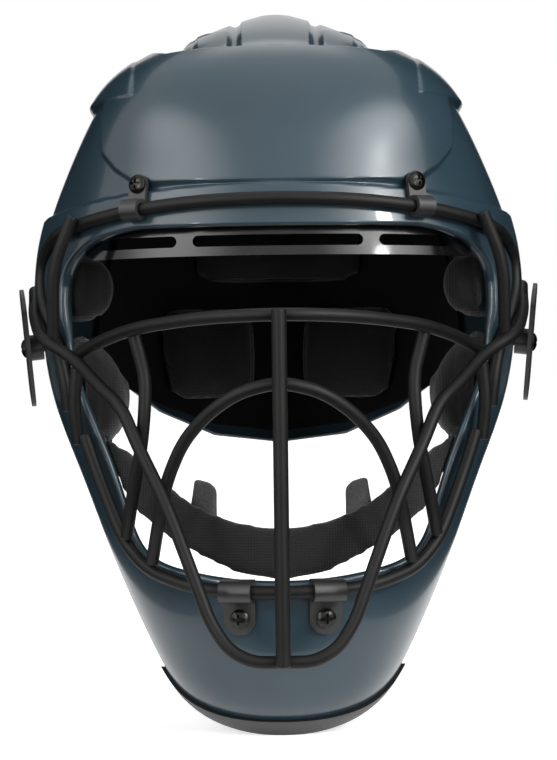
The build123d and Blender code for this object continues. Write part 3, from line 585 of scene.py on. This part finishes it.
# %% Outlines of the openings
PORT_HALF_WIDTH, PORT_RISE, PORT_DROP = 91.5, 41.0, 111.0
EDGE_REACH, EDGE_DROP, SHELL_RIM = 112.0, 181.0, 1.2
CROWN_FROM, FRONT_VENT_HALF, CROWN_VENT_HALF, EAR_SLOT_HALF = 60, 2.5, 3.5, 2.5
port_high = np.array([
    (0.64, 0.98), (0.90, 0.80), (0.985, 0.55), (1.00, 0.05),
]) * (PORT_HALF_WIDTH, PORT_RISE)
port_low = np.array([
    (0.995, -0.11), (0.925, -0.30), (0.79, -0.57), (0.72, -0.74), (0.62, -0.905), (0.44, -0.965),
    (0.15, -0.998),
]) * (PORT_HALF_WIDTH, PORT_DROP)
port_right = np.vstack([port_high, port_low])
port_outline = smooth_outline(np.vstack([port_right, port_right[::-1] * (-1, 1)]), 240)
edge_line = smooth_outline(np.array([
    (0.97, 0.490), (0.94, 0.400), (0.87, 0.290), (0.79, 0.190), (0.765, 0.000), (0.72, -0.120),
    (0.56, -0.250), (0.30, -0.390), (0.02, -0.535), (-0.20, -0.675), (-0.42, -0.805), (-0.68, -0.915),
    (-1.00, -1.000),
]) * (EDGE_REACH, EDGE_DROP), 120)
# corners well outside the helmet, which close the outline of what is cut off below and behind
far_corners = np.array([(edge_line[-1][0] - 60, -240), (190, -240), (190, edge_line[0][1])])
edge_outline = np.vstack([edge_line, far_corners])


def front_keep(along, turn):
    """Distance to the nearest opening, positive on the shell."""
    outside, within = skin(along, turn), skin(along, turn, -SHELL_WALL)
    middle = (outside + within) / 2
    port = np.where(within[:, 1] < -8, -closed_distance(within[:, [0, 2]], port_outline), 1e3)
    edge = -closed_distance(middle[:, [1, 2]], edge_outline)
    from_above, from_side = middle[:, :2], middle[:, [1, 2]]
    cuts = []
    for x in (-1, 1):
        cuts.append(slot_distance(from_above, (x * 31, -50), (x * 45, -50), FRONT_VENT_HALF))
        for y in (38.5, 77.5):
            cuts.append(slot_distance(from_above, (x * 17, y - 9.5), (x * 17, y + 9.5), CROWN_VENT_HALF))
    vents = np.where(middle[:, 2] > CROWN_FROM, np.maximum.reduce(cuts), -1e3)
    slots = np.maximum.reduce([
        slot_distance(from_side, (y, -10.5), (y, 10.5), EAR_SLOT_HALF) for y in (6, 17, 28)
    ])
    return np.minimum.reduce([port, edge, -vents, -slots]) - SHELL_RIM


# the rows lie closer together from the brow up, where the panel and the facets are
brow_start = np.interp(28.0, PLAIN[:, 0], ALONG)
rows = np.concatenate([
    np.linspace(0.5, brow_start, 118)[:-1], np.linspace(brow_start, ALONG[-1], 210),
])
shell_piece = clipped_skin(
    "shell_skin", front_outer, front_inner, front_keep, rows, spaced_turns(1.3, 4.0), SHELL_RIM,
)
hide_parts("front_shell")
shell_piece.data.materials.append(shell_abs)
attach(shell_piece, "shell")

# %% [markdown]
# ## Back plate
# The plate that shuts the back of the helmet is a second moulding of the same plastic, nested inside the
# shell. It is the same skin, 5 mm further in, cut to an outline with wide shoulders and a narrower neck.

# %% Back plate
REAR_FROM = 30
REAR_ROWS, REAR_TURNS = np.linspace(60, ALONG[-1] - 20, 120), spaced_turns(4.5, 2.4)
PLATE_DEPTH, PLATE_WALL, PLATE_RIM = 5.0, 3.0, 1.0
plate_right = np.array([
    (0.0, -58.0), (33.6, -54.0), (60.8, -41.8), (75.2, -30.2), (80.0, -17.4), (80.0, 0.0),
    (79.5, 12.0), (76.0, 19.0), (68.5, 25.0), (64.0, 33.0), (64.0, 50.0), (64.0, 70.0),
    (61.5, 80.0), (52.0, 87.0), (0.0, 87.0),
])
plate_line = np.vstack([plate_right, plate_right[-2:0:-1] * (-1, 1)])


def skin_below(depth):
    """The skin moved inward by a depth, as a surface function."""
    return lambda along, turn: skin(along, turn, -depth)


def rear_keep(depth, outline, rim):
    """A keep function for a sheet behind the head, cut to an outline seen from the front."""
    def keep(along, turn):
        at = skin(along, turn, -depth)
        return np.where(at[:, 1] > REAR_FROM, closed_distance(at[:, [0, 2]], outline), -1e3) - rim
    return keep


plate_piece = clipped_skin(
    "back_plate_skin", skin_below(PLATE_DEPTH), skin_below(PLATE_DEPTH + PLATE_WALL),
    rear_keep(PLATE_DEPTH + PLATE_WALL / 2, plate_line, PLATE_RIM), REAR_ROWS, REAR_TURNS, PLATE_RIM,
)
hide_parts("back_plate")
plate_piece.data.materials.append(shell_abs)
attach(plate_piece, "back_plate")

# %% [markdown]
# ## Black sheet behind the back pads: painted shade
# A thin black sheet, wider than the pads behind the head, covers the front of the plate and the gaps beside
# it.
# Where the pads do not reach, it is painted shade: a dark sheet where the inside of the helmet lies in
# shadow.
# A flat sheet would stand off the curved plate, so it is one more clip of the same skin, a fraction of a
# millimetre in front of the plate, and it moves with the plate.

# %% Painted shade sheet behind the back pads
SHADE_SHEET_BACK, SHADE_SHEET_MIDDLE, SHADE_SHEET_FRONT, SHADE_SHEET_RIM = 8.2, 8.6, 9.1, 0.4
shade_sheet_right = np.array([
    (0, -52), (33, -48), (62, -37), (80, -27), (89, -15), (90, 0), (89, 14), (86, 26), (84, 36), (80, 48),
    (72, 60), (62, 74), (50, 82), (0, 82),
], float)
shade_sheet_line = np.vstack([shade_sheet_right, shade_sheet_right[-2:0:-1] * (-1, 1)])
# painted shade: a black sheet over the plate's front and the gaps beside it, where the inside of the helmet
# lies in shadow
shade_sheet_piece = clipped_skin(
    "painted_shade_sheet", skin_below(SHADE_SHEET_BACK), skin_below(SHADE_SHEET_FRONT),
    rear_keep(SHADE_SHEET_MIDDLE, shade_sheet_line, 0.0), REAR_ROWS, REAR_TURNS, SHADE_SHEET_RIM,
)
shade_sheet_piece.data.materials.append(painted_shade_black)
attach(shade_sheet_piece, "back_plate")

# %% [markdown]
# ## Pads: foam in a knitted skin
# Every pad is foam wrapped in a knit and sewn round its rim. Foam under a tight skin bulges in the middle and
# is drawn in at the seam. Sculpting that by hand is slow and looks carved. Here the cloth solver does it: the
# solid's mesh is made even with a voxel remesh, blown up a little from inside with gravity off, and a cap
# keeps each point from moving so far that it would reach the shell. The rim's seam is pressed in afterwards,
# because a remesh would wipe it out.

# %% Cushion helpers
VOXEL_MM, SHRINK_MM = 3.5, 0.8
SWELL_FRAMES, SWELL_PRESSURE = 20, 4.0
SEAM_AT, SEAM_SPREAD = 0.45, 0.10


def worked_in(thing):
    """A copy of an object's mesh with its modifiers worked in."""
    return bpy.data.meshes.new_from_object(thing.evaluated_get(bpy.context.evaluated_depsgraph_get()))


def mesh_of(node):
    """A CAD node's mesh, moved to where the node stands."""
    mesh = worked_in(node)
    mesh.transform(node.matrix_world)
    return mesh


def baked(piece):
    """The piece's mesh with its modifiers worked in, and the modifiers gone."""
    bpy.context.view_layer.update()
    mesh = worked_in(piece)
    piece.modifiers.clear()
    piece.data = mesh
    return mesh


def points_of(mesh):
    """A mesh's vertices as an array in millimetres."""
    flat = np.empty(len(mesh.vertices) * 3)
    mesh.vertices.foreach_get("co", flat)
    return flat.reshape(-1, 3) / MM


def set_points(mesh, points):
    mesh.vertices.foreach_set("co", (np.asarray(points) * MM).ravel())
    mesh.update()


def mesh_normals(mesh):
    flat = np.empty(len(mesh.vertices) * 3)
    mesh.vertex_normals.foreach_get("vector", flat)
    return flat.reshape(-1, 3)


def start_cushion(node_name, name):
    """An even copy of a pad's solid, a little smaller, ready to be blown up."""
    piece = bpy.data.objects.new(name, mesh_of(frame["nodes"][node_name]))
    bpy.context.scene.collection.objects.link(piece)
    remesh = piece.modifiers.new("even", "REMESH")
    remesh.mode, remesh.voxel_size = "VOXEL", VOXEL_MM * MM
    mesh = baked(piece)
    set_points(mesh, points_of(mesh) - mesh_normals(mesh) * SHRINK_MM)
    return piece


def blow_up(pieces):
    """Runs one cloth simulation over all the pieces; returns where each started."""
    starts = {piece.name: points_of(piece.data) for piece in pieces}
    for piece in pieces:
        cloth = piece.modifiers.new("swell", "CLOTH")
        cloth.settings.use_pressure = True
        cloth.settings.uniform_pressure_force = SWELL_PRESSURE
        cloth.settings.effector_weights.gravity = 0.0
        cloth.settings.quality = 4
        cloth.point_cache.frame_start, cloth.point_cache.frame_end = 1, SWELL_FRAMES
    for at in range(1, SWELL_FRAMES + 1):
        bpy.context.scene.frame_set(at)
    for piece in pieces:
        baked(piece)
    bpy.context.scene.frame_set(1)
    return starts


def ways_faced(points, facing):
    """The way a pad faces at each point: the one given, or, where it is None, the middle of the head."""
    ways = -points * (1, 1, 0) if facing is None else np.tile(np.array(facing, float), (len(points), 1))
    return ways / np.maximum(np.linalg.norm(ways, axis=1), 1e-9)[:, None]


def finish_cushion(piece, start, facing, cap_mm, back_cap_mm, seam_mm):
    """Caps the swelling, least at the pad's seat, smooths once and presses the rim's seam in."""
    mesh = piece.data
    normal = mesh_normals(mesh)
    front = step_up(-0.35, 0.5, (normal * ways_faced(start, facing)).sum(axis=1))
    cap = back_cap_mm + (cap_mm - back_cap_mm) * front
    move = points_of(mesh) - start
    far = np.maximum(np.linalg.norm(move, axis=1), 1e-9)
    set_points(mesh, start + move * (np.minimum(far, cap) / far)[:, None])
    piece.modifiers.new("round", "SUBSURF").levels = 1
    mesh = baked(piece)
    normal, points = mesh_normals(mesh), points_of(mesh)
    turned = (normal * ways_faced(points, facing)).sum(axis=1)
    groove = np.exp(-((turned - SEAM_AT) / SEAM_SPREAD) ** 2)
    set_points(mesh, points - normal * (groove * seam_mm)[:, None])
    mesh.shade_smooth()


print("cushion helpers ready")

# %% Swell and sew the pads
# node, finish, body, direction the pad faces (None: the middle of the head), cap, cap at its back, fill
PADS = [
    ("forehead_pad", pad_knit, "shell", None, 1.6, 0.25, 0.6),
    ("chin_pad", pad_knit, "shell", None, 1.4, 0.20, 0.7),
    ("temple_pad_left", pad_knit, "shell", (-1, 0, 0), 1.8, 0.4, 0.6),
    ("temple_pad_right", pad_knit, "shell", (1, 0, 0), 1.8, 0.4, 0.6),
    ("cheek_pad_left", pad_knit, "shell", (-1, 0, 0), 2.2, 0.5, 0.7),
    ("cheek_pad_right", pad_knit, "shell", (1, 0, 0), 2.2, 0.5, 0.7),
    ("back_pad_left", pad_knit, "back_plate", (0, -1, 0), 2.0, 0.4, 0.6),
    ("back_pad_right", pad_knit, "back_plate", (0, -1, 0), 2.0, 0.4, 0.6),
    ("back_pad_upper", pad_knit, "back_plate", (0, -1, 0), 1.8, 0.4, 0.6),
    ("crown_pads", pad_knit, "shell", (0, 0, -1), 1.6, 0.2, 0.6),
    ("chin_foam_left", flap_fabric, "shell", (0, 1, 0), 0.7, 0.3, 0.8),
    ("chin_foam_right", flap_fabric, "shell", (0, 1, 0), 0.7, 0.3, 0.8),
]
cushions = [start_cushion(row[0], row[0] + "_sewn") for row in PADS]
starts = blow_up(cushions)
for piece, (node_name, finish, body, facing, cap, back_cap, fill) in zip(cushions, PADS):
    is_flap = finish is flap_fabric
    finish_cushion(piece, starts[piece.name], facing, cap, back_cap, 0.3 if is_flap else 0.9)
    piece.data.materials.clear()
    piece.data.materials.append(finish)
    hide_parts(node_name)
    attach(piece, body)
    print(piece.name, "faces", len(piece.data.polygons))

# %% [markdown]
# ## Elastic straps
# A woven elastic webbing, 16 mm wide and 1.6 mm thick, runs from the shell to the back plate on each side,
# and a wider one from the crown. The webbing is flat, so a swept flat section with rounded edges makes it; a
# cushion's remesh would melt it. Each strap is drawn once in place and is tied to neither body.

# %% Straps
STRAP_GAP, STRAP_WALL, STRAP_STEP = 1.1, 1.6, 2.5
SIDE_STRAP_WIDTH, SIDE_STRAP_HEIGHT, TOP_STRAP_WIDTH, TOP_STRAP_GAP = 16.0, 28.0, 25.0, 0.3
STATIONS, SECTION_POINTS = 90, 20
heights_along = np.linspace(1, ALONG[-1] - 1, 600)
heights_of = skin(heights_along, np.zeros(600))[:, 2]


def along_at(height):
    """How far along the skin a height lies."""
    return np.interp(height, heights_of, heights_along)


def webbing(name, inner_line, outer_line, across, width):
    """A flat band between two lines, with rounded edges; across is the direction of its width."""
    middle, half = (inner_line + outer_line) / 2, (outer_line - inner_line) / 2
    section = []
    for angle in np.linspace(0, 2 * np.pi, SECTION_POINTS, endpoint=False):
        wide = np.sign(np.cos(angle)) * abs(np.cos(angle)) ** 0.25
        thick = np.sign(np.sin(angle)) * abs(np.sin(angle)) ** 0.6
        section.append((wide * width / 2, thick))
    rings = [middle + across * wide + half * thick for wide, thick in section]
    points = np.stack(rings, axis=1).reshape(-1, 3)
    faces = []
    for here in range(0, (len(middle) - 1) * SECTION_POINTS, SECTION_POINTS):
        there = here + SECTION_POINTS
        for j in range(SECTION_POINTS):
            k = (j + 1) % SECTION_POINTS
            faces.append((here + j, here + k, there + k, there + j))
    faces.append(tuple(range(SECTION_POINTS - 1, -1, -1)))
    faces.append(tuple(there + j for j in range(SECTION_POINTS)))
    mesh = bpy.data.meshes.new(name)
    mesh.from_pydata((points * MM).tolist(), [], faces)
    mesh.shade_smooth()
    mesh.materials.append(strap_elastic)
    piece = bpy.data.objects.new(name, mesh)
    bpy.context.scene.collection.objects.link(piece)
    return piece


# each side strap steps outward from under the shell's edge to the outside of the plate
step_places = (0.0, 0.2, 0.4, 0.5, 0.6, 0.7, 0.8, 0.9, 1.0)
step_values = (0.0, 0.0, 0.0, 0.12, 0.5, 0.88, 1.0, 1.0, 1.0)
share = np.linspace(0, 1, STATIONS)
rise = cubic(np.array(step_places), np.array(step_values)[:, None], share)[:, 0]
for side, side_name in ((-1, "right"), (1, "left")):
    turn = side * np.radians(116 + share * 41)
    level = np.full(STATIONS, along_at(SIDE_STRAP_HEIGHT))
    lines = []
    for lift in (0.0, STRAP_WALL):
        away = -SHELL_WALL + rise * STRAP_STEP + lift - STRAP_GAP - STRAP_WALL
        line = skin(level, turn) + normals_of(skin, level, turn) * away[:, None]
        line[:, 2] = SIDE_STRAP_HEIGHT
        lines.append(line)
    strap = webbing(f"side_strap_{side_name}_webbing", *lines, np.array([[0, 0, 1.0]]), SIDE_STRAP_WIDTH)
    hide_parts(f"side_strap_{side_name}")
    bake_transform(strap)

# the top strap drops from the shell to the plate as it passes the shell's rear edge
drop_at, height_at = (0.0, 0.0, 5.0, 5.0), (114.0, 86.4, 73.0, 52.0)
heights = np.linspace(114.0, 52.0, STATIONS)
drop = np.interp(-heights, -np.array(height_at), drop_at)
level, behind = along_at(heights), np.full(STATIONS, np.pi)
lines = []
for lift in (TOP_STRAP_GAP, TOP_STRAP_GAP + STRAP_WALL):
    lines.append(skin(level, behind) + normals_of(skin, level, behind) * (lift - drop)[:, None])
strap = webbing("top_strap_webbing", *lines, np.array([[1.0, 0, 0]]), TOP_STRAP_WIDTH)
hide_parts("top_strap")
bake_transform(strap)
print("three straps")

# %% [markdown]
# ## Pieces that keep their solid
# Wires, clips, screws and nuts have their true shape in the frame already, so they only get their material.

# %% Materials on the kept solids
finish_of = {
    "cage_coating": wire_coat, "clip_plastic": clip_nylon, "screw_steel": screw_steel,
    "liner_gloss": liner_gloss, "trim_rubber": trim_rubber, "pad_fabric": pad_knit,
    "flap_foam": flap_fabric, "strap_elastic": strap_elastic,
}
for subpart in frame["record"]["subparts"]:
    node = frame["nodes"][subpart["node"]]
    finish = finish_of.get(subpart["material_slot"])
    if finish and not node.hide_render:
        node.data.materials.clear()
        node.data.materials.append(finish)

# %% [markdown]
# ## Camera
# The photograph was taken level with the cheeks through a long lens. The camera stands 1.25 m in front of the
# helmet and is rolled by 0.75 degrees, because the helmet leans by that much in the picture.

# %% Camera
camera_data = bpy.data.cameras.new("camera")
camera_data.sensor_fit, camera_data.sensor_width, camera_data.lens = "HORIZONTAL", 36.0, 170.05
camera = bpy.data.objects.new("camera", camera_data)
camera.location = (-0.0005, -1.25, -0.026)
camera.rotation_euler = (np.pi / 2, np.radians(0.75), 0)
bpy.context.scene.collection.objects.link(camera)
bpy.context.scene.camera = camera
bpy.context.scene.view_settings.view_transform = "Standard"
print("camera at", tuple(camera.location))

# %% [markdown]
# ## Floor and world
# The helmet stands on a white sweep. A lamp bright enough to make it white would wash out the helmet, so the
# floor glows and the world is white only to rays from the camera, off a gloss or through glass. Other rays
# meet a dark floor and a tenth of the world. The floor glows less close to the helmet, as in its shade.

# %% Floor and world
floor_height = cad_box[0][2]
floor_corners = [(x, y, floor_height) for x, y in ((-6, -4), (6, -4), (6, 12), (-6, 12))]
floor_mesh = bpy.data.meshes.new("floor")
floor_mesh.from_pydata(floor_corners, [], [(0, 1, 2, 3)])
floor = bpy.data.objects.new("floor", floor_mesh)
bpy.context.scene.collection.objects.link(floor)


def seen_directly(tree):
    """1 for camera, glossy and transmission rays and 0 for all others, as a socket."""
    rays = add_node(tree, "ShaderNodeLightPath").outputs
    seen = add_node(tree, "ShaderNodeMath", {
        0: rays["Is Camera Ray"], 1: rays["Is Glossy Ray"],
    }, operation="ADD")
    seen = add_node(tree, "ShaderNodeMath", {
        0: seen.outputs[0], 1: rays["Is Transmission Ray"],
    }, operation="ADD", use_clamp=True)
    return seen.outputs[0]


sweep, tree, shader, where = new_material("painted_sweep_white", Roughness=0.9)
shader.inputs["Base Color"].default_value = linear("#f4f4f4")
shader.inputs["Emission Color"].default_value = (1, 1, 1, 1)
seen = seen_directly(tree)
far = add_node(tree, "ShaderNodeVectorMath", {0: where}, operation="LENGTH")
spread = add_node(tree, "ShaderNodeMapRange", {
    "Value": far.outputs["Value"], "From Min": 0.22, "From Max": 0.75, "To Min": 0.66, "To Max": 1.0,
})
glow = add_node(tree, "ShaderNodeMath", {0: seen, 1: spread.outputs["Result"]}, operation="MULTIPLY")
tree.links.new(glow.outputs[0], shader.inputs["Emission Strength"])
floor_mesh.materials.append(sweep)

world = bpy.data.worlds.new("studio")
bpy.context.scene.world = world
world.use_nodes = True
tree = world.node_tree
strength = add_node(tree, "ShaderNodeMapRange", {
    "Value": seen_directly(tree), "To Min": 0.10, "To Max": 1.0,
})
tree.nodes["Background"].inputs["Color"].default_value = (1, 1, 1, 1)
tree.links.new(strength.outputs["Result"], tree.nodes["Background"].inputs["Strength"])
print("floor at", round(floor_height, 4), "m")

# %% [markdown]
# ## Lamps
# Two broad soft boxes light the helmet from both sides, the right one stronger, and a smaller one lights its
# top. They fade to their edges, because a hard edge shows as a rectangle in the gloss. Two narrow strips and
# one small patch are even, and give the sharp streaks on the chin and the bright patch over the brow.

# %% Lamps


def soft_box(name, place, aim, size, power, even=False):
    """A rectangular lamp at place, turned towards aim, in metres and watts; it fades unless even."""
    lamp = bpy.data.lights.new(name, "AREA")
    lamp.shape, lamp.size, lamp.size_y, lamp.energy = "RECTANGLE", size[0], size[1], power
    if not even:
        lamp.use_nodes = True
        tree = lamp.node_tree
        spot = add_node(tree, "ShaderNodeNewGeometry").outputs["Parametric"]
        off = add_node(tree, "ShaderNodeVectorMath", {0: spot, 1: (0.5, 0.5, 0.0)}, operation="DISTANCE")
        fade = add_node(tree, "ShaderNodeMapRange", {
            "Value": off.outputs["Value"], "From Min": 0.5, "From Max": 0.05, "To Min": 0.0, "To Max": 1.0,
        }, interpolation_type="SMOOTHSTEP")
        tree.links.new(fade.outputs["Result"], tree.nodes["Emission"].inputs["Strength"])
    box = bpy.data.objects.new(name, lamp)
    way = np.array(aim, float) - np.array(place, float)
    box.location = place
    box.rotation_euler = Vector(way).to_track_quat("-Z", "Y").to_euler()
    bpy.context.scene.collection.objects.link(box)


soft_box("key_right", (1.35, -1.15, 1.15), (0, 0, 0.05), (2.9, 2.2), 120.0)
soft_box("fill_left", (-1.35, -1.2, 1.05), (0, 0, 0.05), (2.9, 2.2), 74.0)
soft_box("strip_right", (0.80, -1.42, -0.12), (0, 0, -0.10), (0.11, 0.85), 7.0, even=True)
soft_box("strip_left", (-0.86, -1.38, -0.12), (0, 0, -0.10), (0.11, 0.85), 8.5, even=True)
soft_box("patch_front", (1.1, -1.06, 0.60), (0, 0, 0.05), (0.22, 0.12), 9.0, even=True)
soft_box("top", (0.0, 0.35, 1.5), (0, 0, 0), (1.0, 0.9), 10.0)
print("lamps", len(bpy.data.lights))

# %% [markdown]
# ## Black cards
# Black cards stand behind the helmet and lie on the table round it, all outside the picture. Without them
# the gloss mirrors white all round; with them its sides and its underside are dark, as in the photograph.

# %% Black cards
card_paper, _, shader, _ = new_material("black_card", Roughness=1.0, Specular_IOR_Level=0.0)
shader.inputs["Base Color"].default_value = linear("#060606")
table, tall = floor_height + 0.002, 1.1
CARDS = {
    "card_behind_left": [(-0.26, 0.8, table), (-0.95, 0.25, table), (-0.95, 0.25, tall), (-0.26, 0.8, tall)],
    "card_behind_right": [(0.26, 0.8, table), (1.0, -0.2, table), (1.0, -0.2, tall), (0.26, 0.8, tall)],
    "card_table_left": [(-0.9, -0.6, table), (-0.18, -0.6, table), (-0.25, 0.8, table), (-0.9, 0.8, table)],
    "card_table_right": [(0.16, -0.6, table), (0.9, -0.6, table), (0.9, 0.8, table), (0.24, 0.8, table)],
    "card_table_front": [
        (-0.4, -1.1, table), (0.4, -1.1, table), (0.16, -0.21, table), (-0.18, -0.21, table),
    ],
}
for name, corners in CARDS.items():
    mesh = bpy.data.meshes.new(name)
    mesh.from_pydata(corners, [], [(0, 1, 2, 3)])
    mesh.materials.append(card_paper)
    card = bpy.data.objects.new(name, mesh)
    bpy.context.scene.collection.objects.link(card)
    # no card casts a shadow or shows to a camera; those on the table also soak up bounced light
    card.visible_camera = card.visible_shadow = card.visible_transmission = False
    card.visible_diffuse = "table" in name
print("cards", len(CARDS))
